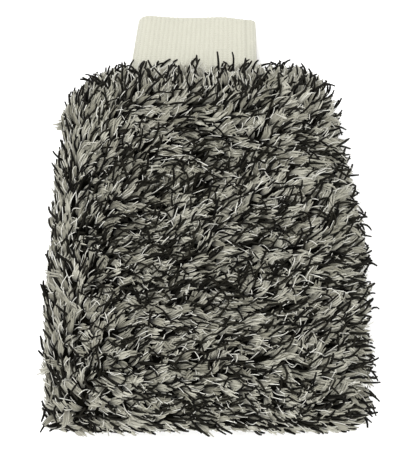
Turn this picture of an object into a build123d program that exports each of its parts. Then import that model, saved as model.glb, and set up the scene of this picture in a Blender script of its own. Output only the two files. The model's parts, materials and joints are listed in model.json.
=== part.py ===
"""A deep-pile wash mitt lying on its back, palm side down, with its ribbed cuff towards +Y.

The origin is the middle of the footprint, on the surface that the mitt lies on. +X is across the mitt, +Y runs from
the finger end to the cuff and +Z is up, through the thickness. Everything is in millimetres.
"""

from build123d import *
import math
import os

# Overall sizes
LENGTH = 300.0  # finger end to the rim of the cuff
THICKNESS = 64.0  # through both piles, lying flat
FINGER_Y = -LENGTH / 2
RIM_Y = LENGTH / 2

# Outline of the pile, seen from above. It leans a little to the left, as the soft mitt lies.
FINGER_HALF = 115.0  # half width at the finger end
SIDE_BULGE = (114.0, -70.0)  # the fullest point of the right side
SHOULDER_Y = 112.0
SHOULDER_LEFT_X = -104.0
SHOULDER_RIGHT_X = 92.0
SHOULDER_LEFT_R = 40.0
SHOULDER_RIGHT_R = 38.0
FINGER_LEFT_R = 28.0
FINGER_RIGHT_R = 32.0
BULGE_R = 200.0
TOP_ROUND = 26.0  # rounding of the upper edge of the pile
BOTTOM_ROUND = 12.0  # and of the lower edge, which the mitt's weight presses flat

# Layers, from the outside in
PILE_SIDE = 14.0
PILE_REAR = 10.0  # pressed down by the weight above it
PILE_FRONT = 22.5
BACKING = 1.2
FOAM = 3.5
LINING = 0.8
BACKING_TOP_ROUND = 11.0
BACKING_BOTTOM_ROUND = 8.0
SPLIT_Z = 24.0  # height of the perimeter seam between the front and rear panels

# Cuff: a flattened double-folded rib tube
CUFF_X = -8.0
HINGE_Y = 105.0  # the line on which the cuff bends at the neck
CUFF_DROOP = 14.0  # degrees below level, which puts the rim on the surface
CUFF_WALL = 3.0
NECK_WIDTH = 90.0
NECK_THICK = 20.0
RIM_WIDTH = 84.0
RIM_THICK = 18.0
RIM_ROUND = 1.4
BEND_UP = 90.0  # degrees from rest
BEND_DOWN = 30.0
SWING_GAP = 0.4  # clearance kept round the cuff over its whole travel
SWING_SIDE_GAP = 1.2
SWING_REACH = 120.0

# Stitching
SHELL_SEAM_WIDTH = 3.2
SHELL_SEAM_THICK = 1.0
LINING_SEAM_WIDTH = 3.5
LINING_SEAM_THICK = 0.8
SEAM_GAP = (NECK_WIDTH + 2 * SWING_SIDE_GAP, 60.0, 20.0)  # where the seams stop either side of the neck
NECK_SEAM_WIDE = 2.0
NECK_SEAM_Y = (91.9, 94.2)
PASSAGE_WIDTH = 82.0  # way through the neck for the hand
PASSAGE_Y = (84.0, 101.0)
TACK_X = 62.0
TACK_SIZE = (9.0, 3.3, 1.8)
TACK_BITE = 0.4  # how far each tack reaches into the shell seam
SIDE_SEAM = (1.6, 1.2)
SIDE_SEAM_SUNK = 0.4  # how far the side seam is set into the wall of the cuff

# Worked out from the sizes above
CAVITY_LOW = PILE_REAR + BACKING + FOAM + LINING
DROOP = math.radians(CUFF_DROOP)
RIM_INSET = RIM_THICK / 2 - RIM_ROUND
CUFF_LENGTH = RIM_ROUND + (RIM_Y - HINGE_Y - RIM_ROUND - RIM_INSET * math.sin(DROOP)) / math.cos(DROOP)
HINGE_Z = (CUFF_LENGTH - RIM_ROUND) * math.sin(DROOP) + RIM_INSET * math.cos(DROOP) + RIM_ROUND


def outline():
    """The pile's edge from above, as a face centred on X."""
    corners = Polyline(
        (-FINGER_HALF, FINGER_Y),
        (FINGER_HALF, FINGER_Y),
        SIDE_BULGE,
        (SHOULDER_RIGHT_X, SHOULDER_Y),
        (SHOULDER_LEFT_X, SHOULDER_Y),
        close=True,
    )
    face = make_face(corners.edges())
    radii = {
        (-FINGER_HALF, FINGER_Y): FINGER_LEFT_R,
        (FINGER_HALF, FINGER_Y): FINGER_RIGHT_R,
        SIDE_BULGE: BULGE_R,
        (SHOULDER_RIGHT_X, SHOULDER_Y): SHOULDER_RIGHT_R,
        (SHOULDER_LEFT_X, SHOULDER_Y): SHOULDER_LEFT_R,
    }
    for (x, y), radius in radii.items():
        corner = face.vertices().sort_by_distance((x, y, 0))[0]
        face = fillet(corner, radius)
    middle = face.bounding_box().center().X
    return Pos(-middle, 0, 0) * face


def pillow(inset, low, high, top_round, bottom_round):
    """A flat cushion shape: the outline moved in by inset, from low to high, with rounded edges."""
    face = offset(outline(), amount=-inset) if inset else outline()
    body = extrude(Pos(0, 0, low) * face, amount=high - low, dir=(0, 0, 1))
    body = fillet(body.faces().sort_by(Axis.Z)[-1].edges(), top_round)
    return fillet(body.faces().sort_by(Axis.Z)[0].edges(), bottom_round)


def layer_surfaces():
    """The five nested surfaces: pile, backing, foam, lining and the hand's space."""
    surfaces = [pillow(0, 0, THICKNESS, TOP_ROUND, BOTTOM_ROUND)]
    inset = PILE_SIDE
    low = PILE_REAR
    high = THICKNESS - PILE_FRONT
    top_round = BACKING_TOP_ROUND
    bottom_round = BACKING_BOTTOM_ROUND
    for thickness in (BACKING, FOAM, LINING, 0):
        surfaces.append(pillow(inset, low, high, top_round, bottom_round))
        inset += thickness
        low += thickness
        high -= thickness
        top_round -= thickness
        bottom_round -= thickness
    return surfaces


def upper_half():
    return Pos(0, 0, SPLIT_Z + THICKNESS) * Box(2 * LENGTH, 2 * LENGTH, 2 * THICKNESS)


def lower_half():
    return Pos(0, 0, SPLIT_Z - THICKNESS) * Box(2 * LENGTH, 2 * LENGTH, 2 * THICKNESS)


def neck_slot(width, low, high, y_range):
    """A flat oval bar along Y through the neck, from one Y to the other."""
    profile = Plane.XZ * SlotOverall(width, high - low)
    bar = extrude(profile, amount=y_range[1] - y_range[0], dir=(0, 1, 0))
    return Pos(CUFF_X, y_range[0], (low + high) / 2) * bar


def swing_space():
    """Everything that the cuff passes through as it bends up and down, with its clearance."""
    radius = NECK_THICK / 2 + SWING_GAP
    up = math.radians(BEND_UP - CUFF_DROOP)
    down = math.radians(-BEND_DOWN - CUFF_DROOP)

    def along(angle, distance, side):
        y = HINGE_Y + distance * math.cos(angle) - side * radius * math.sin(angle)
        z = HINGE_Z + distance * math.sin(angle) + side * radius * math.cos(angle)
        return (0, y, z)

    corners = [
        (0, HINGE_Y, HINGE_Z),
        along(up, 0, 1),
        along(up, SWING_REACH, 1),
        along((up + down) / 2, 2 * SWING_REACH, 0),
        along(down, SWING_REACH, -1),
        along(down, 0, -1),
    ]
    width = NECK_WIDTH + 2 * SWING_SIDE_GAP
    wedge = extrude(make_face(Polyline(*corners, close=True).edges()), amount=width, dir=(1, 0, 0))
    pivot = Pos(width / 2, HINGE_Y, HINGE_Z) * Cylinder(radius, width, rotation=(0, 90, 0))
    return Pos(CUFF_X - width / 2, 0, 0) * (wedge + pivot)


def fingertip_tacks(shell_edge_y):
    """Two bar tacks that hold the lining to the shell seam at the finger end, so it can't pull out."""
    length = TACK_SIZE[1]
    return [Pos(side * TACK_X, shell_edge_y + length / 2, SPLIT_Z) * Box(*TACK_SIZE) for side in (-1, 1)]


def perimeter_seam(inset, width, thick):
    """A stitched seam allowance that runs round the mitt at the split, open at the neck."""
    outer = extrude(offset(outline(), amount=-inset), amount=thick)
    inner = extrude(offset(outline(), amount=-inset - width), amount=thick)
    gap = Pos(CUFF_X, SHOULDER_Y, 0) * Box(*SEAM_GAP)
    return Pos(0, 0, SPLIT_Z - thick / 2) * (outer - inner - gap)


def neck_seam():
    """The ring of overlock stitches that joins shell, lining and cuff."""
    low, high = passage_heights()
    ring = NECK_SEAM_WIDE
    outer = neck_slot(PASSAGE_WIDTH + 2 * ring, low - ring, high + ring, NECK_SEAM_Y)
    return outer - neck_slot(PASSAGE_WIDTH, low, high, NECK_SEAM_Y)


def passage_heights():
    """Lowest and highest Z of the way through the neck: the lining's floor and the top of the cuff's bore."""
    return CAVITY_LOW, HINGE_Z + NECK_THICK / 2 - CUFF_WALL


def place_cuff(solid):
    """From the cuff's own frame, along +Y from its hinge, to where it droops at rest."""
    return Pos(CUFF_X, HINGE_Y, HINGE_Z) * Rot(-CUFF_DROOP, 0, 0) * solid


def tapered_slot(neck_size, rim_size):
    """A flat oval bar that tapers from behind the neck to the rim, in the cuff's own frame."""
    back = NECK_THICK / 2
    grow = back / CUFF_LENGTH
    start = [n + (n - r) * grow for n, r in zip(neck_size, rim_size)]
    sections = [
        Plane((0, -back, 0), (1, 0, 0), (0, 1, 0)) * SlotOverall(*start),
        Plane((0, CUFF_LENGTH, 0), (1, 0, 0), (0, 1, 0)) * SlotOverall(*rim_size),
    ]
    return loft(sections)


def cuff_parts():
    """The rib tube with its rounded rim and an end that turns about the hinge, and its side seam."""
    outer = tapered_slot((NECK_WIDTH, NECK_THICK), (RIM_WIDTH, RIM_THICK))
    rim = outer.faces().sort_by(Axis.Y)[-1]
    outer = fillet(rim.edges(), RIM_ROUND)
    wall = 2 * CUFF_WALL
    bore = tapered_slot((NECK_WIDTH - wall, NECK_THICK - wall), (RIM_WIDTH - wall, RIM_THICK - wall))
    reach = 2 * NECK_WIDTH
    front = Pos(0, reach / 2, 0) * Box(reach, reach, reach)
    turning_end = Cylinder(NECK_THICK / 2, reach, rotation=(0, 90, 0))
    tube = (outer - bore) & (front + turning_end)

    def strip_at(y, inner_half):
        centre = inner_half + SIDE_SEAM_SUNK - SIDE_SEAM[0] / 2
        return Plane((centre, y, 0), (1, 0, 0), (0, 1, 0)) * Rectangle(*SIDE_SEAM)

    strip = loft([
        strip_at(0, NECK_WIDTH / 2 - CUFF_WALL),
        strip_at(CUFF_LENGTH - RIM_ROUND, RIM_WIDTH / 2 - CUFF_WALL),
    ])
    return place_cuff(tube - strip), place_cuff(strip)


def build():
    """All the pieces, by name."""
    surfaces = layer_surfaces()
    swing = swing_space()
    low, high = passage_heights()
    passage = neck_slot(PASSAGE_WIDTH, low, high, PASSAGE_Y)
    tacks = fingertip_tacks(FINGER_Y + PILE_SIDE + SHELL_SEAM_WIDTH - TACK_BITE)
    ring = neck_seam()
    shell_band = perimeter_seam(PILE_SIDE, SHELL_SEAM_WIDTH, SHELL_SEAM_THICK)
    lining_band = perimeter_seam(PILE_SIDE + BACKING + FOAM, LINING_SEAM_WIDTH, LINING_SEAM_THICK)
    for tack in tacks:
        shell_band -= tack
        lining_band -= tack
    pieces = {
        "shell_seam": shell_band,
        "lining_seam": lining_band,
        "neck_seam": ring,
        "fingertip_tacks": Compound(children=tacks),
    }
    halves = {"front": upper_half(), "rear": lower_half()}
    for name, outer, inner in zip(("pile", "backing", "foam", "lining"), surfaces, surfaces[1:]):
        shell = outer - inner - swing - passage
        for thread in (shell_band, lining_band, ring, *tacks):
            shell -= thread
        for side, half in halves.items():
            pieces[f"{side}_{name}"] = shell & half
    pieces["cuff"], pieces["cuff_side_seam"] = cuff_parts()
    return pieces


os.makedirs("parts", exist_ok=True)
for node, shape in build().items():
    export_step(shape, f"parts/{node}.step")
print(f"hinge at ({CUFF_X:.3f}, {HINGE_Y:.3f}, {HINGE_Z:.3f}), cuff length {CUFF_LENGTH:.3f}")
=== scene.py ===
"""A deep-pile wash mitt, lying flat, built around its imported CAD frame.

Lengths are in metres in the frame of the CAD: +X across the mitt, +Y from the finger end to the cuff, +Z up.
"""

import json
import math

import bmesh
import bpy
import numpy as np
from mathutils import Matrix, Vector
from mathutils.kdtree import KDTree


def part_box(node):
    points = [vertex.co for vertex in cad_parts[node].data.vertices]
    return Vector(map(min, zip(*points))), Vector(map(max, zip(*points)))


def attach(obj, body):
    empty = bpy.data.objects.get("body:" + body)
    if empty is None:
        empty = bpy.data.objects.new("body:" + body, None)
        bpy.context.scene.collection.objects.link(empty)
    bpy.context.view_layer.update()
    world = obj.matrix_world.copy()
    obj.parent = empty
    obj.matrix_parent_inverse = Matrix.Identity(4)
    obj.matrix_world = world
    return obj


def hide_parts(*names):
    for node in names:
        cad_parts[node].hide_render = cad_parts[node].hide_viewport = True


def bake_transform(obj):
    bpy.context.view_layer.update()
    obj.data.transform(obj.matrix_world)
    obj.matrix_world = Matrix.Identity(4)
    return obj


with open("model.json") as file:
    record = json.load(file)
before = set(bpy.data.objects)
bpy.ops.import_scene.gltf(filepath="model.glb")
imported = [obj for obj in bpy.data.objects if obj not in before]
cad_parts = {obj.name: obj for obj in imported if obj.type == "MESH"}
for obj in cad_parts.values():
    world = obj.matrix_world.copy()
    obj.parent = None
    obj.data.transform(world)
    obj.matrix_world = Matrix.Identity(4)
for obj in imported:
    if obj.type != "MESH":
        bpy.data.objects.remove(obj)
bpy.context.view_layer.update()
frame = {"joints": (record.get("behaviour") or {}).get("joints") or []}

MM = 0.001
DEG = math.pi / 180
SEED = 7
BAKE_MAP = "OFBake"  # pieces that carry this map lay out their own colours on it
MOST_TRIANGLES = 180000  # in one piece of pile

# The body, from the CAD
PILE_LOW, PILE_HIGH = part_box("front_pile")
CUFF_LOW, CUFF_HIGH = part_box("cuff")
HINGE = Vector(frame["joints"][0]["pos_m"])
FINGER_Y = PILE_LOW.y
SHOULDER_Y = PILE_HIGH.y
SPLIT_Z = PILE_LOW.z
LEAN = -6 * MM  # how far left the shoulders sit
# The edge of the pile from above, in mm: each corner, its rounding, and the rounding of the pile's base there
CORNERS = (
    (-115, -150, 28, 15),
    (115, -150, 34, 24),
    (114, -70, 200, 200),
    (92, 112, 38, 38),
    (-104, 112, 40, 60),
)
CORNER_STEPS = 24
EDGE_POINTS = 240  # round each panel
RINGS = 30  # rows of each panel from its edge to its spine
SPINE_END = 75 * MM  # the spine stops this far from each end of the body
EDGE_DROP = 2 * MM  # the panels meet this far below the split of the two CAD piles
NECK_FROM = 90 * MM  # the edge starts to rise to the hinge this far from the shoulders
NECK_OVER = 70 * MM  # and rises over this length
FRONT_RISE, REAR_RISE = 46 * MM, 20 * MM  # how far in from the edge each panel reaches its full height

# The base that the pile grows from: how much further out or in than the outline it is
FINGER_FILL = 12.5 * MM  # nearer the edge at the finger end, where the tufts hang down
RIGHT_BULGE, LEFT_PINCH = 7.5 * MM, -5 * MM  # about half way along each side
BULGE_Y, BULGE_REACH = -10 * MM, 55 * MM
LEFT_FILL = (  # further out along the left side: places along Y, and how far there in mm
    (-140 * MM, -115 * MM, -62 * MM, -34 * MM, 23 * MM, 51 * MM, 66 * MM, 90 * MM),
    (1, 3, 5.5, 2.5, 2, 1, 3, 5),
)

# Layers from the outside in, in mm: inset from the edge, top, bottom and half height of the neck opening
LAYERS = {
    "base": (10.0, 48.5, 5.5, 10.6),
    "backing": (14.0, 41.5, 10.0, 10.4),
    "foam": (15.2, 40.3, 11.2, 10.2),
    "lining": (18.7, 36.8, 14.7, 8.6),
    "space": (19.5, 36.0, 15.5, 7.4),
}
SWELL_SHARES = {"base": 1.0, "backing": 0.8, "foam": 0.78, "lining": 0.6, "space": 0.6}
MOST_SWELL = 6 * MM
SWELL_VOXEL = 5 * MM
SWELL_PRESSURE = 3.0
SWELL_FRAMES = 16
FLOOR_GAP = 0.3 * MM

# The cuff, from the CAD, in its own frame: along it from the hinge, across it and up
CUFF_X = (CUFF_LOW.x + CUFF_HIGH.x) / 2
CUFF_DROOP = 14 * DEG
CUFF_LENGTH = 44.4 * MM
CUFF_BACK = 12 * MM  # how far it goes on into the neck
CUFF_WALL = 3 * MM
CUFF_ROUND = 200 * MM  # about how long the knit is round the cuff
NECK_HALF = (45 * MM, 10 * MM)  # half width and half thickness at the neck
RIM_HALF = (42 * MM, 9 * MM)
CUFF_SAG = 3 * MM  # how far the upper wall sinks in the middle of the rim
CUFF_SKEW = 2.4 * MM  # the cuff lies pulled a little to the right at its rim
RIM_WAVE = (  # the rim's wave: places across it from -1 to 1, and how far forward it is there in mm
    (-1.0, -0.8, -0.6, -0.4, -0.2, 0.0, 0.2, 0.4, 0.55, 0.7, 0.85, 1.0),
    (0.9, 0.8, 0.5, 0.4, 0.6, 0.8, 0.9, 0.9, 0.6, 0.2, 0.1, 0.9),
)
RIBS = 58
RIB_HEIGHT = 0.4 * MM
RIB_COLUMNS = RIBS * 6  # points round the knit
KNIT_THICK = 1.3 * MM
SEAM_SHARE = 0.062  # where round the cuff its side seam is, from the right going up
SEAM_WIDTH, SEAM_DEPTH = 1.6 * MM, 0.35 * MM
TACK_X = 62 * MM  # the fingertip tacks inside the body are this far to each side

# How the pile lies: its heading over most of the mitt, and how much further it turns near each edge
HEADING = 20 * DEG
TURN_LEFT = 66 * DEG
TURN_SHOULDER = 75 * DEG
TURN_FINGER = -24 * DEG
# Where each turn starts and over how much it sets in, in shares of the body's width or length
LEFT_ZONE = (0.17, 0.1)
SHOULDER_ZONE = (0.8, 0.12)
FINGER_ZONE = (0.2, 0.12)
FINGER_ZONE_LEFT = (0.05, 0.1)  # the left end of the finger zone
CROWN = (-94 * MM, -126 * MM, 26 * MM)  # place and size of the crown, where it lies every way
SWIRLS = ((20 * DEG, 80 * MM), (20 * DEG, 30 * MM))  # how far it wanders, over how much cloth
FRINGE_REACH = 52 * MM  # the pile this near the cuff is its fringe, a piece of its own
FRINGE_Y = SHOULDER_Y - 27 * MM
NECK_REACH = 45 * MM  # the pile about this near the cuff reaches over it
BASE_AREA = 0.13  # about the area of both panels of the pile's base, in square metres
TRIES = 4  # places tried for each square as wide as the spacing
CLUMP_SEED = 21
CLUMP_SIZE = 24 * MM
CLUMP_RANGE = (0.74, 1.42)  # the spacing of black strands in a clump and between clumps, as a share
PAINTED_SHADE_MIDDLE = (-44 * MM, -36 * MM, 125 * MM)  # place and reach of the middle, where black strands are closer: painted shade

# Camera and light
CAMERA_ELEVATION = 74.0 * DEG
CAMERA_DISTANCE = 1.5
CAMERA_LENS = 171.0
CAMERA_TARGET = (-3.5 * MM, -10.5 * MM, 25 * MM)
WORLD_LIGHT = 1.38
AREA_LIGHTS = (  # name, place, size and power
    ("key", (-0.5, 0.7, 1.6), 0.9, 18),
    ("fill", (0.9, -0.7, 1.4), 1.2, 8),
    ("front", (-0.2, -1.6, 0.9), 1.0, 11),
)
FLOOR_SIZE = 6.0


# ---------------- meshes


def make_object(name, verts, loops, sizes, attributes=None, corner_uv=None):
    """An object from vertex places, a flat list of corner indices and the number of corners of each face.

    attributes has a value for each vertex, and corner_uv a place on the map BAKE_MAP for each corner.
    """
    me = bpy.data.meshes.new(name)
    loops = np.ascontiguousarray(loops, np.int32)
    sizes = np.asarray(sizes, np.int32)
    starts = np.concatenate([[0], np.cumsum(sizes)[:-1]]).astype(np.int32)
    me.vertices.add(len(verts))
    me.vertices.foreach_set("co", np.ascontiguousarray(verts, np.float32).ravel())
    me.loops.add(len(loops))
    me.loops.foreach_set("vertex_index", loops)
    me.polygons.add(len(sizes))
    me.polygons.foreach_set("loop_start", starts)
    me.update(calc_edges=True)
    me.polygons.foreach_set("use_smooth", np.full(len(sizes), True))
    for key, values in (attributes or {}).items():
        layer = me.attributes.new(key, "FLOAT", "POINT")
        layer.data.foreach_set("value", np.ascontiguousarray(values, np.float32))
    if corner_uv is not None:
        layer = me.uv_layers.new(name=BAKE_MAP)
        layer.data.foreach_set("uv", np.ascontiguousarray(corner_uv, np.float32).ravel())
    ob = bpy.data.objects.new(name, me)
    bpy.context.scene.collection.objects.link(ob)
    return ob


def tidy_faces(ob):
    """Splits large faces into triangles and turns all faces outwards."""
    bm = bmesh.new()
    bm.from_mesh(ob.data)
    bmesh.ops.triangulate(bm, faces=[f for f in bm.faces if len(f.verts) > 4])
    bmesh.ops.recalc_face_normals(bm, faces=bm.faces)
    bm.to_mesh(ob.data)
    bm.free()
    ob.data.polygons.foreach_set("use_smooth", np.full(len(ob.data.polygons), True))
    ob.data.update()


def grid_faces(rows, columns):
    """Quads between the rows of a grid whose rows are closed rings."""
    r, c = np.meshgrid(np.arange(rows - 1), np.arange(columns), indexing="ij")
    n = (c + 1) % columns
    quads = np.stack([r * columns + c, r * columns + n, (r + 1) * columns + n, (r + 1) * columns + c], -1)
    return quads.reshape(-1, 4)


def unit(v):
    return v / (np.linalg.norm(v, axis=-1, keepdims=True) + 1e-12)


def dot(a, b):
    return (a * b).sum(-1, keepdims=True)


def smooth_step(t):
    t = np.clip(t, 0, 1)
    return t * t * (3 - 2 * t)


def distances_along(points):
    """How far along a polyline each of its points is."""
    return np.concatenate([[0], np.cumsum(np.linalg.norm(np.diff(points, axis=0), axis=1))])


def strand_tubes(paths, radii, sides):
    """Closed thin tubes along paths (count, points, 3) with radii (count, points)."""
    count, points, _ = paths.shape
    tangent = unit(np.gradient(paths, axis=1))
    spare = np.where(np.abs(tangent[:, :1, 2:3]) < 0.8, [[[0, 0, 1.0]]], [[[1.0, 0, 0]]])
    side = unit(np.cross(tangent, np.broadcast_to(spare, tangent.shape)))
    up = np.cross(side, tangent)
    angle = 2 * np.pi * np.arange(sides) / sides
    cos, sin = np.cos(angle)[None, None, :, None], np.sin(angle)[None, None, :, None]
    ring = side[:, :, None] * cos + up[:, :, None] * sin
    verts = paths[:, :, None] + ring * radii[:, :, None, None]
    one = grid_faces(points, sides)
    base = np.arange(count) * points * sides
    quads = (one[None] + base[:, None, None]).reshape(count, -1)
    root = np.arange(sides)[::-1]
    tip = (points - 1) * sides + np.arange(sides)
    caps = (np.concatenate([root, tip])[None] + base[:, None]).reshape(count, -1)
    loops = np.concatenate([quads, caps], 1).ravel()
    sizes = np.tile(np.concatenate([np.full(len(one), 4), [sides, sides]]), count)
    return verts.reshape(-1, 3), loops, sizes


# ---------------- outline and layers


def outline(inset, base=False):
    """Points round the edge of the pile seen from above, moved in by inset."""
    corners = [(Vector(c[:2]) * MM, c[3 if base else 2] * MM) for c in CORNERS]
    dense = []
    for i, (corner, radius) in enumerate(corners):
        before = (corners[i - 1][0] - corner).normalized()
        after = (corners[(i + 1) % len(corners)][0] - corner).normalized()
        half = before.angle(after) / 2
        centre = corner + (before + after).normalized() * (radius / math.sin(half))
        start = corner + before * (radius / math.tan(half)) - centre
        turn = math.pi - 2 * half
        for k in range(CORNER_STEPS + 1):
            a = turn * k / CORNER_STEPS
            cos, sin = math.cos(a), math.sin(a)
            arm = Vector((start.x * cos - start.y * sin, start.x * sin + start.y * cos))
            dense.append(centre + arm * (1 - inset / radius))
    pts = np.array([[p.x, p.y] for p in dense])
    pts = np.vstack([pts, pts[:1]])
    steps = distances_along(pts)
    at = np.linspace(0, steps[-1], EDGE_POINTS, endpoint=False)
    return np.stack([np.interp(at, steps, pts[:, k]) for k in (0, 1)], 1)


def base_outline(inset):
    """The edge of the base that the pile grows from, shaped so that the tufts end at the outline."""
    edge = outline(inset, base=True)
    edge[:, 1] -= FINGER_FILL * smooth_step((FINGER_Y + 40 * MM - edge[:, 1]) / (30 * MM))
    bulge = np.where(edge[:, 0] > 0, RIGHT_BULGE, LEFT_PINCH)
    edge[:, 0] += bulge * np.exp(-(((edge[:, 1] - BULGE_Y) / BULGE_REACH) ** 2))
    edge[:, 0] -= smooth_step(-edge[:, 0] / (60 * MM)) * np.interp(edge[:, 1], *LEFT_FILL) * MM
    return edge


def edge_height(y):
    """The height of the edge, where the front and rear panels meet: it rises to the hinge at the neck."""
    at_neck = smooth_step((y - (SHOULDER_Y - NECK_FROM)) / NECK_OVER)
    return SPLIT_Z - EDGE_DROP + (HINGE.z - SPLIT_Z + EDGE_DROP) * at_neck


def half_shell(layer, front):
    """One panel of a layer as a grid from its edge to its spine. The edge opens round the cuff."""
    inset, top, bottom, opening = (v * MM for v in LAYERS[layer])
    edge = base_outline(inset) if layer == "base" else outline(inset)
    spine_y = np.clip(edge[:, 1], FINGER_Y + SPINE_END, SHOULDER_Y - SPINE_END)
    spine = np.stack([LEAN * (spine_y - FINGER_Y) / (SHOULDER_Y - FINGER_Y), spine_y], 1)
    across = np.clip(1 - ((edge[:, 0] - CUFF_X) / (NECK_HALF[0] + 1 * MM)) ** 2, 0, None)
    lift = opening * across**0.3 * (edge[:, 1] > SHOULDER_Y - 30 * MM)
    edge_z = edge_height(edge[:, 1]) + (lift if front else -lift)
    far_z = top if front else bottom
    rise_over = FRONT_RISE if front else REAR_RISE
    shell = np.zeros((RINGS, EDGE_POINTS, 3))
    # The rows are closer at the edge, where the panel rises steeply, and the last one ends just off the spine
    for k, share in enumerate(0.985 * np.linspace(0, 1, RINGS) ** 1.4):
        flat = edge + (spine - edge) * share
        run = np.clip(np.linalg.norm(flat - edge, axis=1) / rise_over, 0, 1)
        rise = (1 - (1 - run) ** 2.3) ** 0.6
        shell[k, :, :2] = flat
        shell[k, :, 2] = edge_z + (far_z - edge_z) * rise
    return shell


def panel_solid(name, outer, inner):
    """A closed panel between two grids of the same size."""
    rings, count, _ = outer.shape
    quads = grid_faces(rings, count)
    shift = rings * count
    here = np.arange(count)
    there = (here + 1) % count
    rim = np.stack([there, here, here + shift, there + shift], 1)
    faces = np.concatenate([quads, quads[:, ::-1] + shift, rim])
    spine = shift - count + here
    loops = np.concatenate([faces.ravel(), spine, spine[::-1] + shift])
    sizes = np.concatenate([np.full(len(faces), 4), [count, count]])
    ob = make_object(name, np.concatenate([outer.reshape(-1, 3), inner.reshape(-1, 3)]), loops, sizes)
    tidy_faces(ob)
    return ob


def vertex_places(ob):
    co = np.zeros(len(ob.data.vertices) * 3, np.float32)
    ob.data.vertices.foreach_get("co", co)
    return co.reshape(-1, 3).astype(float)


def apply_modifiers(ob):
    """Replaces the object's mesh by what its modifiers make of it now."""
    graph = bpy.context.evaluated_depsgraph_get()
    made = bpy.data.meshes.new_from_object(ob.evaluated_get(graph), depsgraph=graph)
    ob.modifiers.clear()
    old = ob.data
    ob.data = made
    bpy.data.meshes.remove(old)


def swelling(front, rear):
    """Inflates the closed body with cloth simulation: places at rest, and how far each moves."""
    ob = panel_solid("swelling", front, rear)
    remesh = ob.modifiers.new("remesh", "REMESH")
    remesh.mode = "VOXEL"
    remesh.voxel_size = SWELL_VOXEL
    apply_modifiers(ob)
    rest = vertex_places(ob)
    cloth = ob.modifiers.new("cloth", "CLOTH")
    cloth.settings.use_pressure = True
    cloth.settings.uniform_pressure_force = SWELL_PRESSURE
    cloth.settings.effector_weights.gravity = 0
    cloth.settings.tension_stiffness = 25
    cloth.settings.compression_stiffness = 25
    cloth.settings.bending_stiffness = 2
    cloth.settings.quality = 5
    cloth.collision_settings.use_collision = False
    scene = bpy.context.scene
    for k in range(1, SWELL_FRAMES + 1):
        scene.frame_set(k)
    apply_modifiers(ob)
    scene.frame_set(1)
    moved = vertex_places(ob) - rest
    bpy.data.objects.remove(ob)
    return rest, moved


def swell(grid, rest, moved, share):
    """Moves a panel's grid by a share of how the body moves near it, but not at the neck, and hardly down."""
    tree = KDTree(len(rest))
    for n, p in enumerate(rest):
        tree.insert(p, n)
    tree.balance()
    flat = grid.reshape(-1, 3)
    step = np.zeros_like(flat)
    for n, p in enumerate(flat):
        found = tree.find_n(p, 6)
        weight = np.array([1 / (d + 1e-4) for _, _, d in found])
        step[n] = (moved[[k for _, k, _ in found]] * weight[:, None]).sum(0) / weight.sum()
    far = np.linalg.norm(step, axis=1, keepdims=True)
    step *= np.minimum(1, MOST_SWELL / np.maximum(far, 1e-9)) * share
    gap = np.hypot(np.clip(np.abs(flat[:, 0] - CUFF_X) - NECK_HALF[0], 0, None), flat[:, 1] - SHOULDER_Y)
    step *= smooth_step((gap - 10 * MM) / (30 * MM))[:, None]
    step[:, 2] = np.where(flat[:, 2] < SPLIT_Z, np.maximum(step[:, 2], -1 * MM), step[:, 2])
    return (flat + step).reshape(grid.shape)


# ---------------- pile


def smooth_noise(rng, places, scale, waves=24):
    """A smooth random field from about -1 to 1, made of plane waves about as long as scale."""
    total = np.zeros(len(places))
    for _ in range(waves):
        way = unit(rng.normal(size=3))
        wave = places @ way * (2 * np.pi / scale) * rng.uniform(0.5, 1.4)
        total += np.sin(wave + rng.uniform(0, 2 * np.pi))
    return total / math.sqrt(waves / 2) * 0.7


def grid_normals(grid, quads):
    """The normal at each point of a grid, from the quads that share it."""
    flat = grid.reshape(-1, 3)
    a, b, c, d = (flat[quads[:, k]] for k in range(4))
    face = np.cross(c - a, d - b)
    normals = np.zeros_like(flat)
    for k in range(4):
        np.add.at(normals, quads[:, k], face)
    return unit(normals)


def surface_samples(rng, grids, count):
    """Random places on the panels, evenly by area, with their normals."""
    corners, directions = [], []
    for grid, turn in grids:
        quads = grid_faces(grid.shape[0], grid.shape[1])
        normals = grid_normals(grid, quads) * turn
        flat = grid.reshape(-1, 3)
        for pick in ((0, 1, 2), (0, 2, 3)):
            corners.append(flat[quads[:, pick]])
            directions.append(normals[quads[:, pick]])
    corners = np.concatenate(corners)
    directions = np.concatenate(directions)
    area = np.linalg.norm(np.cross(corners[:, 1] - corners[:, 0], corners[:, 2] - corners[:, 0]), axis=1)
    pick = rng.choice(len(corners), size=count, p=area / area.sum())
    u, v = rng.random(count), rng.random(count)
    over = u + v > 1
    u[over], v[over] = 1 - u[over], 1 - v[over]
    w = np.stack([1 - u - v, u, v], 1)[:, :, None]
    return (corners[pick] * w).sum(1), unit((directions[pick] * w).sum(1))


def spread_out(places, normals, apart):
    """Keeps a subset of the places in which none is nearer another than its own distance apart."""
    cell = float(np.max(apart))
    keep = []
    grid = {}
    keys = np.floor(places / cell).astype(int)
    near = [(i, j, k) for i in (-1, 0, 1) for j in (-1, 0, 1) for k in (-1, 0, 1)]
    for n, (key, p, least) in enumerate(zip(keys.tolist(), places.tolist(), (apart**2).tolist())):
        clash = False
        for i, j, k in near:
            for x, y, z in grid.get((key[0] + i, key[1] + j, key[2] + k), ()):
                if (x - p[0]) ** 2 + (y - p[1]) ** 2 + (z - p[2]) ** 2 < least:
                    clash = True
                    break
            if clash:
                break
        if not clash:
            keep.append(n)
            grid.setdefault(tuple(key), []).append(p)
    return places[keep], normals[keep]


def near_neck(places):
    """1 where the pile reaches over the cuff, falling to 0 away from it."""
    return smooth_step(1.5 - np.hypot(places[:, 0] - CUFF_X, (places[:, 1] - SHOULDER_Y) * 1.5) / NECK_REACH)


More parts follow.
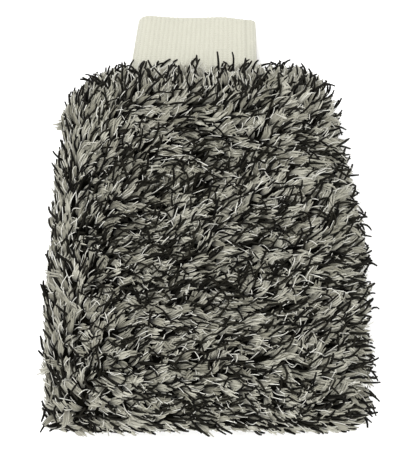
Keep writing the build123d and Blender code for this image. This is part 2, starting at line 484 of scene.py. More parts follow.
def clump_spacing(places):
    """What the spacing of black strands is multiplied by: less in clumps, less in the middle and at the
    finger end as painted shade, and more at the left edge and away from the middle.
    """
    value = smooth_noise(np.random.default_rng(CLUMP_SEED), places, CLUMP_SIZE)
    x, y, reach = PAINTED_SHADE_MIDDLE
    out = np.hypot(places[:, 0] - x, places[:, 1] - y) / reach
    left = smooth_step((PILE_LOW.x + 40 * MM - places[:, 0]) / (25 * MM))
    finger = smooth_step((FINGER_Y + 22 * MM - places[:, 1]) / (14 * MM)) * (1 - left)
    # painted shade: more black strands in the middle and at the finger end
    painted_shade_by_place = 0.83 + 0.29 * smooth_step(out) + 0.13 * left - 0.26 * finger
    low, high = CLUMP_RANGE
    return (low + (high - low) * smooth_step(0.5 + 0.5 * value)) * painted_shade_by_place


def lay_direction(places, normals, turn):
    """The way the pile leans over at each place, along the surface."""
    field = np.random.default_rng(SEED)
    across = (places[:, 0] - PILE_LOW.x) / (PILE_HIGH.x - PILE_LOW.x)
    up = (places[:, 1] - FINGER_Y) / (SHOULDER_Y - FINGER_Y)
    angle = np.full(len(places), HEADING)
    left = smooth_step((LEFT_ZONE[0] - across) / LEFT_ZONE[1])
    shoulder = smooth_step((up - SHOULDER_ZONE[0]) / SHOULDER_ZONE[1])
    finger = smooth_step((FINGER_ZONE[0] - up) / FINGER_ZONE[1])
    off_left = smooth_step((across - FINGER_ZONE_LEFT[0]) / FINGER_ZONE_LEFT[1])
    angle += TURN_LEFT * left
    angle += TURN_SHOULDER * shoulder * (1 - 0.6 * across)
    angle += TURN_FINGER * finger * off_left
    for amount, size in SWIRLS:
        angle += amount * smooth_noise(field, places, size)
    crown = np.exp(-((places[:, 0] - CROWN[0]) ** 2 + (places[:, 1] - CROWN[1]) ** 2) / CROWN[2] ** 2)
    angle += turn * (1 + 3.5 * crown)
    along = np.stack([np.cos(angle), np.sin(angle), np.zeros(len(places))], 1)
    sideways = np.sqrt(np.clip(1 - normals[:, 2:3] ** 2, 0, 1))
    end_face = np.clip(-normals[:, 1:2], 0, 1) * sideways
    along[:, 2:] -= sideways * 0.15 + end_face * 0.2
    return unit(along - normals * dot(along, normals) * 0.9)


def grow(rng, places, normals, length, turn, curl, lift, points, wavy):
    """Centre lines of tufts, and their sideways direction at the root.

    They leave the surface at lift[0] from its normal and end at lift[1], curling as they go.
    """
    count = len(places)
    along = lay_direction(places, normals, turn)
    other = np.cross(normals, along)
    path = np.zeros((count, points, 3))
    path[:, 0] = places
    wave = rng.normal(0, wavy, (count, 3))
    swing = rng.uniform(0.5, 1.5, count)
    for k in range(1, points):
        s = (k - 0.5) / (points - 1)
        tilt = (lift[0] + (lift[1] - lift[0]) * s ** lift[2])[:, None]
        bend = (curl * s)[:, None]
        step = normals * np.cos(tilt) + (along * np.cos(bend) + other * np.sin(bend)) * np.sin(tilt)
        step = unit(step + wave * np.sin(np.pi * (s * 1.7 + swing))[:, None])
        path[:, k] = path[:, k - 1] + step * (length / (points - 1))[:, None]
    return path, other


def shorten(line, reach):
    """The first share of each line, as many points as before."""
    points = line.shape[1]
    at = np.linspace(0, 1, points)[None] * reach[:, None] * (points - 1)
    low = np.minimum(at.astype(int), points - 2)
    part = (at - low)[:, :, None]
    rows = np.arange(len(line))[:, None]
    return line[rows, low] * (1 - part) + line[rows, low + 1] * part


def bundle(rng, path, across, strands, width, converge, ragged, uneven):
    """Splits each tuft's centre line into strands side by side in a flat lock."""
    count, points, _ = path.shape
    tangent = unit(np.gradient(path, axis=1))
    side = unit(np.cross(np.cross(tangent, across[:, None]), tangent))
    over = np.cross(side, tangent)
    s = np.linspace(0, 1, points)
    # The lock widens from its root, and converges over its outer half
    shape = (0.45 + 0.55 * smooth_step(s / 0.45)) * (1 - converge * smooth_step((s - 0.5) / 0.5))
    cup = rng.uniform(-0.35, 0.35, count)
    made = []
    for k in range(strands):
        a = (k + 0.5) / strands * 2 - 1 + rng.normal(0, 0.1, count) if strands > 1 else np.zeros(count)
        b = cup * (a * a - 0.4) + rng.normal(0, 0.07, count)
        tip = rng.normal(0, ragged, (count, 3))
        reach = 1 - np.abs(rng.normal(0, uneven, count)) - 0.2 * a * a
        half = (width / 2)[:, None, None]
        offset = (side * a[:, None, None] + over * b[:, None, None]) * half
        line = path + offset * shape[None, :, None] + tip[:, None] * (s**2)[None, :, None]
        made.append(shorten(line, np.clip(reach, 0.5, 1)))
    return np.stack(made, 1).reshape(count * strands, points, 3)


def cuff_half_height(x):
    """Half the thickness of the cuff this far across."""
    round_part = np.clip(np.abs(x - CUFF_X) - (NECK_HALF[0] - NECK_HALF[1]), 0, None)
    return np.sqrt(np.clip(NECK_HALF[1] ** 2 - round_part**2, 0, None))


def keep_clear(paths, radii, front):
    """Lifts strands off the floor, and moves those of the front above the cuff and the others below it."""
    x, y, z = (paths[:, :, k] for k in range(3))
    middle = HINGE.z - math.tan(CUFF_DROOP) * (y - HINGE.y)
    half = cuff_half_height(x)
    over = (y > HINGE.y - CUFF_BACK) & (half > 0)
    gap = radii + RIB_HEIGHT + 0.2 * MM
    z = np.where(over & front[:, None], np.maximum(z, middle + half + gap), z)
    z = np.where(over & ~front[:, None], np.minimum(z, middle - half - gap), z)
    paths[:, :, 2] = np.maximum(z, radii + FLOOR_GAP)


def tuft_piece(name, paths, radii, sides, shade, material):
    """One piece of many strands. shade says where on the palette each strand's colour is."""
    count, points, _ = paths.shape
    verts, loops, sizes = strand_tubes(paths, radii, sides)
    shape = (count, points, sides)
    along = np.broadcast_to(np.linspace(0, 1, points)[None, :, None], shape).ravel()
    around = np.arange(sides)[None, None, :] / sides
    shades = np.broadcast_to(0.94 * shade[:, None, None] + 0.06 * around, shape).ravel()
    uv = np.stack([0.01 + 0.98 * shades, 0.01 + 0.98 * along], 1)[loops]
    ob = make_object(name, verts, loops, sizes, {"along": along, "shade": shades}, uv)
    ob.data.materials.append(material)
    return ob


def bend_at_neck(piece):
    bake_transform(piece)


def pile_pieces(name, material, path, radii, shade, fringe, sides):
    """Makes a layer's strands into pieces: the fringe by the cuff, and small enough others."""
    groups = {f"{name}_fringe": np.flatnonzero(fringe)}
    rest = np.flatnonzero(~fringe)
    rest = rest[np.argsort(path[rest, 0, 1], kind="stable")]
    triangles = len(rest) * (path.shape[1] - 1) * sides * 2
    parts = max(1, math.ceil(triangles / MOST_TRIANGLES))
    for n, some in enumerate(np.array_split(rest, parts)):
        groups[f"{name}_{n + 1}"] = some
    for piece_name, some in groups.items():
        piece = tuft_piece(piece_name, path[some], radii[some], sides, shade[some], material)
        if piece_name.endswith("fringe"):
            bend_at_neck(piece)
        else:
            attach(piece, "mitt")
        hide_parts("front_pile", "rear_pile")


def grow_layer(name, material, ground, seed, apart, length, spread, curl, lift, strands, width, radius,
               tip, sides, points, spacing=None, converge=0.4, wavy=0.16, ragged=0.5 * MM, uneven=0.12,
               at_neck=0.65, thin_at_neck=0.0, at_finger=0.6):
    """Covers the ground in tufts of one colour.

    Tufts are apart from each other, times spacing, and their headings vary by spread. lift is how far they
    lean over at the root and at the tip, and how soon. Each is a lock of strands, width across, that converge
    and end raggedly and unevenly. A strand is a tube with so many sides and points, and radius thick, times
    tip at its end. at_neck and at_finger are the share of its length that a tuft has there.
    """
    rng = np.random.default_rng(seed)
    places, normals = surface_samples(rng, ground, int(BASE_AREA / apart**2 * TRIES))
    spaced = np.full(len(places), apart)
    if spacing is not None:
        spaced *= spacing(places)
    spaced *= 1 + thin_at_neck * near_neck(places)
    places, normals = spread_out(places, normals, spaced)
    count = len(places)

    # Tufts are shorter underneath, at the finger end, over the cuff and at the shoulders
    under = np.clip(-normals[:, 2], 0, 1)
    finger = np.clip(-normals[:, 1], 0, 1) * np.clip(1 - normals[:, 2], 0, 1)
    left = np.clip(-normals[:, 0], 0, 1) ** 2
    combed = np.clip(finger + left, 0, 1)
    neck = near_neck(places)
    shoulder = smooth_step((places[:, 1] - 70 * MM) / (30 * MM)) * np.clip(1 - normals[:, 2], 0, 1)
    lengths = length * rng.uniform(0.8, 1.15, count) * (1 - 0.35 * under - (1 - at_finger) * finger)
    lengths *= 1 - neck + neck * rng.uniform(0.65, 1.4, count) * at_neck
    lengths *= 1 - 0.25 * shoulder
    leans = lift[0] + (lift[1] * 0.8 - lift[0]) * np.clip(under + combed * 0.85, 0, 1)
    turn = rng.normal(0, spread, count) * (1 - 0.3 * combed)
    bend = rng.normal(0, curl, count) * (1 - 0.65 * np.maximum(neck, combed))
    path, across = grow(rng, places, normals, lengths, turn, bend, (leans, lift[1], lift[2]), points, wavy)
    path = bundle(rng, path, across, strands, width * rng.uniform(0.7, 1.2, count), converge, ragged, uneven)

    # Strands are thickest in the middle, and each has its own shade near its tuft's
    front = np.repeat(places[:, 2] > SPLIT_Z, strands)
    fringe = np.repeat((np.abs(places[:, 0] - CUFF_X) < FRINGE_REACH) & (places[:, 1] > FRINGE_Y), strands)
    shade = np.clip(np.repeat(rng.random(count), strands) + rng.normal(0, 0.07, len(path)), 0, 1)
    s = np.linspace(0, 1, points)
    profile = (0.75 + 0.25 * smooth_step(s / 0.4)) * (1 - (1 - tip) * s**4)
    radii = (radius * rng.uniform(0.85, 1.15, len(path)))[:, None] * profile[None]
    keep_clear(path, radii, front)
    pile_pieces(name, material, path, radii, shade, fringe, sides)


# ---------------- cuff


def oval(half_width, half_height, share):
    """Points of a flat oval with straight sides, and their outward normals, at shares of the way round."""
    straight = half_width - half_height
    total = 4 * straight + 2 * np.pi * half_height
    at = (share % 1) * total
    quarter = np.pi * half_height / 2
    marks = np.cumsum([quarter, 2 * straight, 2 * quarter, 2 * straight, quarter])
    angle = np.select(
        [at < marks[0], at < marks[1], at < marks[2], at < marks[3]],
        [at / half_height, np.pi / 2, np.pi / 2 + (at - marks[1]) / half_height, 3 * np.pi / 2],
        3 * np.pi / 2 + (at - marks[3]) / half_height,
    )
    centre = np.select(
        [at < marks[0], at < marks[1], at < marks[2], at < marks[3]],
        [straight, straight - (at - marks[0]), -straight, -straight + (at - marks[2])],
        straight,
    )
    nx, nz = np.cos(angle), np.sin(angle)
    return centre + half_height * nx, half_height * nz, nx, nz


def cuff_point(x, s, z):
    """From the cuff's own frame, across, along and up, to the row frame."""
    y = HINGE.y + s * math.cos(CUFF_DROOP) + z * math.sin(CUFF_DROOP)
    up = HINGE.z - s * math.sin(CUFF_DROOP) + z * math.cos(CUFF_DROOP)
    return np.stack([CUFF_X + x, y, up], -1)


def cuff_halves(s):
    """Half the width and half the thickness of the cuff this far along it."""
    t = s / CUFF_LENGTH
    return tuple(n + (r - n) * t for n, r in zip(NECK_HALF, RIM_HALF))


def lying_cuff(x, s, z, over):
    """A point of the cuff as it lies: flatter on the right, sagging in the middle, its rim wavy.

    over says whether the point is on the upper wall, the one that sags.
    """
    width = cuff_halves(s)[0]
    part = smooth_step(s / CUFF_LENGTH)
    reach = x / width
    z = z * (1 - 0.5 * smooth_step((reach - 0.35) / 0.6) * part)
    sag = CUFF_SAG * np.cos(np.clip(reach, -1, 1) * np.pi / 2) ** 1.5 * part * over
    wave = np.interp(reach, *RIM_WAVE) * MM * part
    skew = CUFF_SKEW * np.clip(s, 0, None) / CUFF_LENGTH
    point = cuff_point(x + skew, s + wave, z - sag)
    point[..., 2] = np.maximum(point[..., 2], FLOOR_GAP)
    return point


def cuff_rows():
    """The middle of the knit from inside the neck, along the outer wall, over the rim and back inside.

    Each row says how far along it is, how deep inside the outer wall, and its normal, inwards and forwards.
    """
    fold = (CUFF_WALL - KNIT_THICK) / 2
    turn = CUFF_LENGTH - KNIT_THICK / 2 - fold
    straight = np.linspace(-CUFF_BACK, turn, 46)
    bends = np.linspace(0, np.pi, 7)[1:-1]
    rows = [(s, 0.0, -1.0, 0.0) for s in straight]
    rows += [(turn + fold * math.sin(a), fold * (1 - math.cos(a)), -math.cos(a), math.sin(a)) for a in bends]
    return rows + [(s, 2 * fold, 1.0, 0.0) for s in straight[::-1]]


def cuff_map(faces, count, first_end):
    """Where each corner of the cuff is on the map of its own colours: U goes round it and V along it.

    Each side of the knit has count rows and half of V. The faces from first_end on join the two sides.
    """
    column = faces % RIB_COLUMNS
    u = column / RIB_COLUMNS
    wraps = (column.max(1) == RIB_COLUMNS - 1) & (column.min(1) == 0)
    u = np.where(wraps[:, None] & (column == 0), 1.0, u)
    row = faces // RIB_COLUMNS
    v = np.where(row < count, row / (count - 1) * 0.49, 0.51 + (row - count) / (count - 1) * 0.49)
    end = np.arange(len(faces)) >= first_end
    v = np.where(end[:, None], 0.5 + 0.01 * (row >= count), v)
    return np.stack([u, v], -1).reshape(-1, 2)


def knit_cuff():
    """The rib tube: one knitted sheet, folded double at the rim, with raised ribs and a sunk side seam."""
    rows = cuff_rows()
    share = np.arange(RIB_COLUMNS) / RIB_COLUMNS
    rib = (0.5 + 0.5 * np.cos(2 * np.pi * RIBS * share)) ** 0.8
    seam = np.exp(-(((share - SEAM_SHARE) * CUFF_ROUND / SEAM_WIDTH) ** 2))
    places = []
    for face in (1, -1):
        for s, depth, inward, forward in rows:
            width, height = cuff_halves(s)
            x, z, nx, nz = oval(width - KNIT_THICK / 2 - depth, height - KNIT_THICK / 2 - depth, share)
            out = KNIT_THICK / 2
            if face > 0:
                out = out + RIB_HEIGHT * (rib - 0.4) - SEAM_DEPTH * seam
            offset = face * inward * out
            places.append(lying_cuff(x - offset * nx, s + face * forward * out, z - offset * nz, z > 0))
    count = len(rows)
    quads = grid_faces(count, RIB_COLUMNS)
    shift = count * RIB_COLUMNS
    here = np.arange(RIB_COLUMNS)
    there = (here + 1) % RIB_COLUMNS
    last = shift - RIB_COLUMNS
    ends = [
        np.stack([there, here, here + shift, there + shift], 1),
        np.stack([here + last, there + last, there + last + shift, here + last + shift], 1),
    ]
    faces = np.concatenate([quads, quads[:, ::-1] + shift, *ends])
    marks = {"rib": np.tile(rib, 2 * count), "seam": np.tile(seam, 2 * count)}
    corner_uv = cuff_map(faces, count, 2 * len(quads))
    sizes = np.full(len(faces), 4)
    ob = make_object("rib_cuff", np.concatenate(places), faces.ravel(), sizes, marks, corner_uv)
    tidy_faces(ob)
    return ob


# ---------------- thread


def stitch_run(name, path, across, pitch, width, radius, material, closed=False, rails=True):
    """Overlock stitches along a path: a zigzag thread and, with rails, a straight one along each side."""
    path = np.asarray(path, float)
    if closed:
        path = np.vstack([path, path[:1]])
    across = np.broadcast_to(np.asarray(across, float), path.shape)
    steps = distances_along(path)
    count = max(4, int(steps[-1] / (pitch / 4)))
    at = np.linspace(0, steps[-1], count)
    line = np.stack([np.interp(at, steps, path[:, k]) for k in range(3)], 1)
    way = unit(np.stack([np.interp(at, steps, across[:, k]) for k in range(3)], 1))
    lift = unit(np.cross(unit(np.gradient(line, axis=0)), way))
    swing = np.sin(np.arange(count) * np.pi / 2)[:, None]
    bob = np.cos(np.arange(count) * np.pi)[:, None]
    lines = [line + way * swing * width / 2 + lift * bob * radius * 0.6]
    if rails:
        lines += [line + way * side * width / 2 for side in (-1, 1)]
    paths = np.stack(lines)
    radii = np.full(paths.shape[:2], radius)
    verts, loops, sizes = strand_tubes(paths, radii, 6)
    ob = make_object(name, verts, loops, sizes)
    ob.data.materials.append(material)
    return ob


# ---------------- materials


def new_material(name, roughness, specular=0.3, sheen=0.0):
    mat = bpy.data.materials.new(name)
    mat.use_nodes = True
    tree = mat.node_tree
    tree.nodes.clear()
    out = tree.nodes.new("ShaderNodeOutputMaterial")
    bsdf = tree.nodes.new("ShaderNodeBsdfPrincipled")
    tree.links.new(bsdf.outputs[0], out.inputs["Surface"])
    bsdf.inputs["Roughness"].default_value = roughness
    bsdf.inputs["Specular IOR Level"].default_value = specular
    bsdf.inputs["Sheen Weight"].default_value = sheen
    bsdf.inputs["Sheen Roughness"].default_value = 0.4
    return mat, tree, bsdf


def ramp(tree, value, stops):
    node = tree.nodes.new("ShaderNodeValToRGB")
    while len(node.color_ramp.elements) < len(stops):
        node.color_ramp.elements.new(0.5)
    for element, (place, colour) in zip(node.color_ramp.elements, stops):
        element.position = place
        element.color = (*colour, 1)
    tree.links.new(value, node.inputs[0])
    return node.outputs["Color"]


def attribute(tree, name):
    node = tree.nodes.new("ShaderNodeAttribute")
    node.attribute_name = name
    return node.outputs["Fac"]


def multiply(tree, a, b):
    """One colour times another."""
    mix = tree.nodes.new("ShaderNodeMix")
    mix.data_type = "RGBA"
    mix.blend_type = "MULTIPLY"
    mix.inputs["Factor"].default_value = 1
    tree.links.new(a, mix.inputs["A"])
    tree.links.new(b, mix.inputs["B"])
    return mix.outputs["Result"]


def maths(tree, operation, *values):
    """A maths node on numbers and other nodes' outputs."""
    node = tree.nodes.new("ShaderNodeMath")
    node.operation = operation
    for n, value in enumerate(values):
        if isinstance(value, (int, float)):
            node.inputs[n].default_value = value
        else:
            tree.links.new(value, node.inputs[n])
    return node.outputs[0]


def bump(tree, bsdf, height, distance):
    node = tree.nodes.new("ShaderNodeBump")
    node.inputs["Distance"].default_value = distance
    node.inputs["Strength"].default_value = 1
    tree.links.new(height, node.inputs["Height"])
    tree.links.new(node.outputs[0], bsdf.inputs["Normal"])


def noise(tree, scale, detail=3.0):
    where = tree.nodes.new("ShaderNodeTexCoord")
    node = tree.nodes.new("ShaderNodeTexNoise")
    node.inputs["Scale"].default_value = scale
    node.inputs["Detail"].default_value = detail
    tree.links.new(where.outputs["Object"], node.inputs["Vector"])
    return node.outputs["Fac"]


def grey_steps(*values):
    """Ramp stops of grey, evenly spaced."""
    return [(n / (len(values) - 1), (v, v, v)) for n, v in enumerate(values)]


def fibre_material(name, dark, light, depth, roughness, specular, sheen):
    """Microfibre: each strand has its own shade between dark and light, and is darker towards its root:
    painted shade, where the tufts shade each other deep in the pile.
    """
    mat, tree, bsdf = new_material(name, roughness, specular, sheen)
    own = ramp(tree, attribute(tree, "shade"), [(0.0, dark), (1.0, light)])
    # painted shade: each strand darkens towards its root, where the pile shades itself
    painted_root_shade = ramp(tree, attribute(tree, "along"), grey_steps(*depth))
    tree.links.new(multiply(tree, own, painted_root_shade), bsdf.inputs["Base Color"])
    return mat


def knit_material(name, dark, light, pitch, roughness=0.9, specular=0.2, sheen=0.2):
    """A plain knit: rows of small loops, darker in the hollows between them where the bump sinks, as painted
    shade, with soft variation over the cloth.
    """
    mat, tree, bsdf = new_material(name, roughness, specular, sheen)
    where = tree.nodes.new("ShaderNodeTexCoord")
    split = tree.nodes.new("ShaderNodeSeparateXYZ")
    tree.links.new(where.outputs["Object"], split.inputs[0])
    turn = 2 * math.pi / pitch
    across = maths(tree, "SINE", maths(tree, "MULTIPLY", split.outputs["X"], turn))
    zigzag = maths(tree, "MULTIPLY", maths(tree, "ABSOLUTE", across), 1.6)
    along = maths(tree, "MULTIPLY", split.outputs["Y"], turn * 1.3)
    rows = maths(tree, "SINE", maths(tree, "ADD", along, zigzag))
    loops = maths(tree, "MULTIPLY_ADD", maths(tree, "MULTIPLY", across, rows), 0.5, 0.5)
    # painted shade: the low parts of the loop pattern, sunk by the bump, take the dark colour
    base = ramp(tree, loops, [(0.0, dark), (1.0, light)])
    tint = ramp(tree, noise(tree, 60), grey_steps(0.8, 1.0))
    tree.links.new(multiply(tree, base, tint), bsdf.inputs["Base Color"])
    bump(tree, bsdf, loops, 0.4 * MM)
    return mat


def foam_material(name, dark, light):
    """Open-cell foam: fine irregular pores, darker where the bump sinks into them, as painted shade."""
    mat, tree, bsdf = new_material(name, 0.95, 0.1)
    pores = noise(tree, 1400, 4.0)
    # painted shade: the low parts of the pores take the dark colour
    tree.links.new(ramp(tree, pores, [(0.35, dark), (0.6, light)]), bsdf.inputs["Base Color"])
    bump(tree, bsdf, pores, 0.5 * MM)
    return mat


def thread_material(name, dark, light):
    """Twisted sewing thread, darker in the grooves of its twist, as painted shade."""
    mat, tree, bsdf = new_material(name, 0.6, 0.3, 0.2)
    twist = noise(tree, 2500, 1.0)
    # painted shade: the grooves of the twist, sunk by the bump, take the dark colour
    tree.links.new(ramp(tree, twist, [(0.3, dark), (0.7, light)]), bsdf.inputs["Base Color"])
    bump(tree, bsdf, twist, 0.1 * MM)
    return mat


def rib_material(name, valley_shade, ridge):
    """Rib knit: pale ridges of V-shaped stitches with darker valleys between, the valleys and the low parts
    of the stitches painted darker as shade, and the sunk side seam.
    """
    mat, tree, bsdf = new_material(name, 0.85, 0.25, 0.25)
    # painted shade: the valleys between the raised ribs take the darker colour
    base = ramp(tree, attribute(tree, "rib"), [(0.0, valley_shade), (0.55, ridge), (1.0, ridge)])
    where = tree.nodes.new("ShaderNodeUVMap")
    where.uv_map = BAKE_MAP
    split = tree.nodes.new("ShaderNodeSeparateXYZ")
    tree.links.new(where.outputs[0], split.inputs[0])
    phase = maths(tree, "FRACT", maths(tree, "MULTIPLY", split.outputs["X"], float(RIBS)))
    slant = maths(tree, "ABSOLUTE", maths(tree, "SUBTRACT", phase, 0.5))
    rows = maths(tree, "MULTIPLY_ADD", split.outputs["Y"], 150.0, maths(tree, "MULTIPLY", slant, 1.6))
    wave = maths(tree, "SINE", maths(tree, "MULTIPLY", rows, 2 * math.pi))
    stitch = maths(tree, "MULTIPLY_ADD", wave, 0.5, 0.5)
    # painted shade: the low parts of each stitch row, sunk by the bump, are darker
    knit = ramp(tree, stitch, grey_steps(0.93, 1.0))
    cloud = ramp(tree, noise(tree, 90), grey_steps(0.94, 1.0))
    seam = ramp(tree, attribute(tree, "seam"), grey_steps(1.0, 0.92))
    colour = multiply(tree, multiply(tree, base, knit), multiply(tree, cloud, seam))
    tree.links.new(colour, bsdf.inputs["Base Color"])
    bump(tree, bsdf, stitch, 0.25 * MM)
    return mat


# ---------------- camera, light and floor


def make_camera():
    data = bpy.data.cameras.new("camera")
    cam = bpy.data.objects.new("camera", data)
    bpy.context.scene.collection.objects.link(cam)
    bpy.context.scene.camera = cam
    back = Vector((0, -math.cos(CAMERA_ELEVATION), math.sin(CAMERA_ELEVATION)))
    cam.location = Vector(CAMERA_TARGET) + back * CAMERA_DISTANCE
    cam.rotation_mode = "QUATERNION"
    cam.rotation_quaternion = (-back).to_track_quat("-Z", "Y")
    data.lens = CAMERA_LENS
    data.sensor_width = 36
    data.clip_start = 0.05
    data.clip_end = 20


def area_light(name, place, size, power):
    """A square light that points at the origin."""
    data = bpy.data.lights.new(name, "AREA")
    data.shape = "SQUARE"
    data.size = size
    data.energy = power
    light = bpy.data.objects.new(name, data)
    bpy.context.scene.collection.objects.link(light)
    light.location = place
    light.rotation_mode = "QUATERNION"
    light.rotation_quaternion = (-Vector(place)).to_track_quat("-Z", "Y")


def make_studio():
    """A white world, three soft lights and a white floor."""
    scene = bpy.context.scene
    scene.view_settings.view_transform = "Standard"
    world = bpy.data.worlds.new("studio")
    world.use_nodes = True
    world.node_tree.nodes["Background"].inputs["Color"].default_value = (1, 1, 1, 1)
    world.node_tree.nodes["Background"].inputs["Strength"].default_value = WORLD_LIGHT
    scene.world = world
    for name, place, size, power in AREA_LIGHTS:
        area_light(name, place, size, power)
    me = bpy.data.meshes.new("floor")
    s = FLOOR_SIZE
    me.from_pydata([(-s, -s, 0), (s, -s, 0), (s, s, 0), (-s, s, 0)], [], [(0, 1, 2, 3)])
    floor = bpy.data.objects.new("floor", me)
    scene.collection.objects.link(floor)
    mat, _, bsdf = new_material("floor", 0.9, 0.1)
    bsdf.inputs["Base Color"].default_value = (0.98, 0.98, 0.98, 1)
    me.materials.append(mat)


# ---------------- build


def swelled_layers():
    """The front and the rear grid of each layer, swelled."""
    rest, moved = swelling(half_shell("base", True), half_shell("base", False))
    grids = {}
    for layer, share in SWELL_SHARES.items():
        for front in (True, False):
            grids[layer, front] = swell(half_shell(layer, front), rest, moved, share)
    return grids


def make_panels(grids):
    """The padded base of the pile, the knitted backing, the foam and the lining, front and rear."""
    # The knit under the pile: a dark knit, made darker still as painted shade deep between the tufts
    under_pile_and_shade = knit_material(
        "under_pile_and_shade", (0.002, 0.0019, 0.001), (0.006, 0.0057, 0.0038), 1.6 * MM, 0.95, 0.03, 0.0
    )
    backing_knit = knit_material("backing_knit", (0.012, 0.012, 0.011), (0.04, 0.04, 0.036), 1.4 * MM)
    lining_knit = knit_material("lining_knit", (0.07, 0.07, 0.068), (0.15, 0.15, 0.146), 1.2 * MM)
    foam_cells = foam_material("foam_cells", (0.30, 0.28, 0.22), (0.55, 0.52, 0.42))
    panels = (  # name, its outer and inner layer, material, slot and CAD node
        ("pile_base", "base", "backing", under_pile_and_shade, "pile", "pile"),
        ("backing", "backing", "foam", backing_knit, "backing_knit", "backing"),
        ("foam", "foam", "lining", foam_cells, "foam", "foam"),
        ("lining", "lining", "space", lining_knit, "lining", "lining"),
    )
    for name, outer, inner, material, slot, node in panels:
        for side, front in (("front", True), ("rear", False)):
            piece = panel_solid(f"{side}_{name}_soft", grids[outer, front], grids[inner, front])
            piece.data.materials.append(material)
            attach(piece, "mitt")
            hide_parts(f"{side}_{node}")


def make_pile(grids):
    """Grey tufts, single black strands in clumps, and fine white ones between them, whose brightness is
    painted highlight: the glints of light on the pile.
    """
    ground = [(grids["base", True], 1), (grids["base", False], -1)]
    # The last ramp of each fibre darkens it towards the root: painted shade deep in the pile
    grey = fibre_material(
        "pile_grey", (0.195, 0.187, 0.146), (0.421, 0.411, 0.347), (0.25, 0.7, 0.95, 1.0), 0.9, 0.1, 0.2
    )
    black = fibre_material(
        "pile_black", (0.0016, 0.0014, 0.0008), (0.0105, 0.0096, 0.0062), (0.6, 0.9, 1.0), 0.75, 0.08, 0.0
    )
    # painted highlight: these pale strands stand for glints of light on the pile
    white = fibre_material(
        "pile_painted_glints", (0.49, 0.48, 0.43), (0.66, 0.655, 0.6), (0.4, 0.9, 1.0), 0.6, 0.3, 0.1
    )
    grow_layer(
        "pile_grey", grey, ground, seed=11, apart=4.6 * MM, length=14.5 * MM,
        spread=24 * DEG, curl=33 * DEG, lift=(28 * DEG, 86 * DEG, 0.65),
        strands=8, width=5.6 * MM, converge=0.3, ragged=1.15 * MM, uneven=0.2,
        radius=0.76 * MM, tip=0.5, sides=3, points=5, at_neck=0.64,
    )
    grow_layer(
        "pile_black", black, ground, seed=12, apart=3.85 * MM, spacing=clump_spacing, length=18.5 * MM,
        spread=22 * DEG, curl=34 * DEG, lift=(14 * DEG, 88 * DEG, 0.7), wavy=0.2,
        strands=1, width=2 * MM, converge=-0.1, ragged=0.7 * MM,
        radius=0.8 * MM, tip=0.7, sides=4, points=8, at_neck=0.9, thin_at_neck=0.35, at_finger=0.42,
    )
    grow_layer(
        "pile_painted_glints", white, ground, seed=13, apart=4.35 * MM, length=14.5 * MM,
        spread=22 * DEG, curl=38 * DEG, lift=(12 * DEG, 86 * DEG, 0.7), wavy=0.3,
        strands=1, width=0.5 * MM, radius=0.29 * MM, tip=0.8, sides=4, points=9, at_neck=0.7,
    )


def make_cuff():
    """The rib-knit cuff, folded double."""
    cuff = knit_cuff()
    # The valley colour is the ridge colour darkened: painted shade between the ribs
    cuff.data.materials.append(rib_material("rib_knit", (0.405, 0.398, 0.332), (0.442, 0.435, 0.366)))
    bend_at_neck(cuff)
    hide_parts("cuff")


def make_side_seam():
    """The stitches along the inside of the cuff's side seam."""
    cream_thread = thread_material("cream_thread", (0.50, 0.48, 0.40), (0.62, 0.60, 0.50))
    at = np.linspace(12 * MM, CUFF_LENGTH - 3 * MM, 30)
    wall = CUFF_WALL + 0.3 * MM
    x, z, nx, nz = oval(NECK_HALF[0] - wall, NECK_HALF[1] - wall, np.full(30, SEAM_SHARE))
    narrower, thinner = NECK_HALF[0] - RIM_HALF[0], NECK_HALF[1] - RIM_HALF[1]
    path = lying_cuff(x - narrower * at / CUFF_LENGTH, at, z - thinner * at / CUFF_LENGTH, True)
    side_seam = stitch_run(
        "cuff_seam_stitches", path, (nz[0], 0, -nx[0]), 2.4 * MM, 1.6 * MM, 0.3 * MM, cream_thread
    )
    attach(side_seam, "cuff")
    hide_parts("cuff_side_seam")


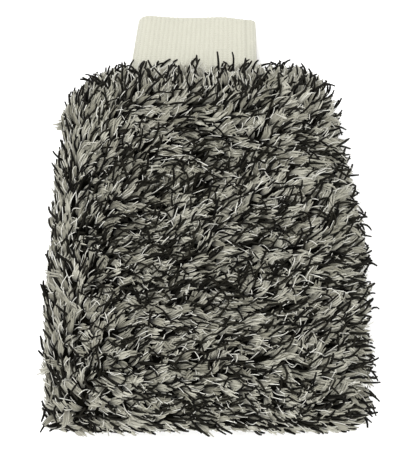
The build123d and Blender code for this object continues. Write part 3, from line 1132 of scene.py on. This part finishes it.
def seam_edge():
    """The line round the body that its perimeter seams follow, from one side of the neck to the other."""
    edge = outline(15 * MM)
    edge = edge[(edge[:, 1] < SHOULDER_Y - 20 * MM) | (np.abs(edge[:, 0] - CUFF_X) > NECK_HALF[0] + 3 * MM)]
    start = np.argmax(np.linalg.norm(np.diff(edge, axis=0), axis=1)) + 1
    return np.roll(edge, -start, axis=0)


def edge_path(edge, inwards):
    """The seam line moved in towards the middle, at the height of the edge of the panels."""
    centre = np.array([LEAN / 2, -20 * MM])
    moved_in = edge + unit(centre - edge) * inwards
    return np.column_stack([moved_in, edge_height(edge[:, 1])])


def make_body_stitching():
    """The perimeter seams of shell and lining, the ring of stitches at the neck and the fingertip tacks."""
    dark_thread = thread_material("dark_thread", (0.008, 0.008, 0.008), (0.03, 0.03, 0.03))
    edge = seam_edge()
    up, forward = (0, 0, 1), (0, 1, 0)
    shell = stitch_run(
        "shell_seam_stitches", edge_path(edge, 0.5 * MM), up, 3 * MM, 2 * MM, 0.35 * MM, dark_thread
    )
    lining = stitch_run(
        "lining_seam_stitches", edge_path(edge, 4.6 * MM), up, 3 * MM, 1.6 * MM, 0.3 * MM, dark_thread
    )
    share = np.linspace(0, 1, 160, endpoint=False)
    ring_x, ring_z, _, _ = oval(NECK_HALF[0] - CUFF_WALL, NECK_HALF[1] - CUFF_WALL, share)
    ring = cuff_point(ring_x, np.full(160, -CUFF_BACK), ring_z)
    neck = stitch_run(
        "neck_seam_stitches", ring, forward, 2.6 * MM, 2 * MM, 0.35 * MM, dark_thread, closed=True
    )
    pieces = [(shell, "shell_seam"), (lining, "lining_seam"), (neck, "neck_seam")]
    tack_low, tack_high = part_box("fingertip_tacks")
    y = (tack_low.y + tack_high.y) / 2
    z = (tack_low.z + tack_high.z) / 2
    for side, x in (("left", -TACK_X), ("right", TACK_X)):
        row = [(x + t, y, z) for t in np.linspace(-4.2 * MM, 4.2 * MM, 20)]
        name = f"fingertip_tack_{side}"
        tack = stitch_run(name, row, forward, 0.9 * MM, 2.6 * MM, 0.3 * MM, dark_thread, rails=False)
        pieces.append((tack, "fingertip_tacks"))
    for piece, node in pieces:
        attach(piece, "mitt")
        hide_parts(node)


make_camera()
make_studio()
grids = swelled_layers()
make_panels(grids)
make_pile(grids)
make_cuff()
make_side_seam()
make_body_stitching()
